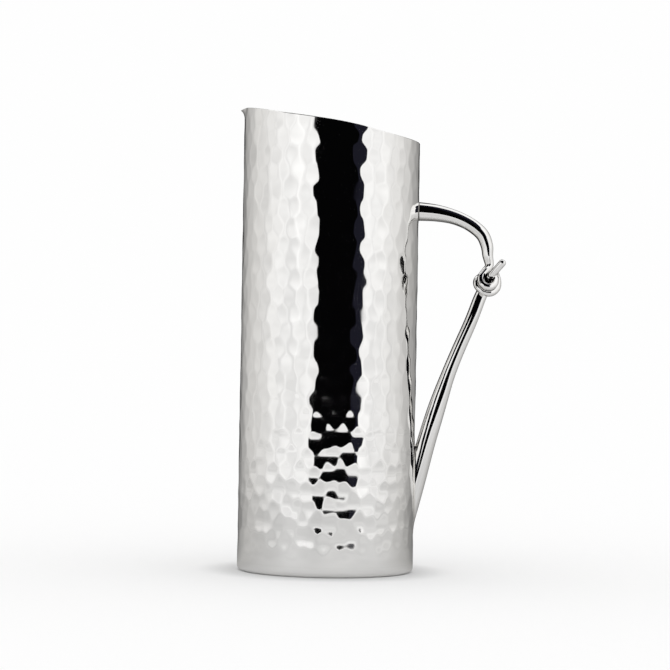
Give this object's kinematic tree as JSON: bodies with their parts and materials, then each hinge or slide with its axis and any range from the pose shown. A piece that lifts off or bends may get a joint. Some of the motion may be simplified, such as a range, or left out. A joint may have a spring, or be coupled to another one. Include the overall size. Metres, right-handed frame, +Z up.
{
  "type": "water pitcher",
  "caption": "Tall hammered metal water pitcher with a slanted rim, a small pinched lip and a tapered rod handle tied in a knot.",
  "frame": {"origin": "centre of the base on the body axis, at the height of the surface that the pitcher stands on", "axes": "+Z up along the body axis, +X towards the handle, -X towards the pouring lip"},
  "size_m": [0.175, 0.115, 0.3018],
  "materials": {
    "hammered_metal": "hammered and mirror polished",
    "polished_base": "smooth, mirror polished",
    "polished_rod": "smooth, mirror polished",
    "solder": "filed and polished"
  },
  "bodies": {
    "root": {"body_wall": "hammered_metal", "base_pan": "polished_base", "base_seam_weld": "solder", "upper_handle_rod": "polished_rod", "lower_handle_rod": "polished_rod", "upper_handle_weld": "solder", "lower_handle_weld": "solder", "knot_solder": "solder"}
  },
  "joints": []
}
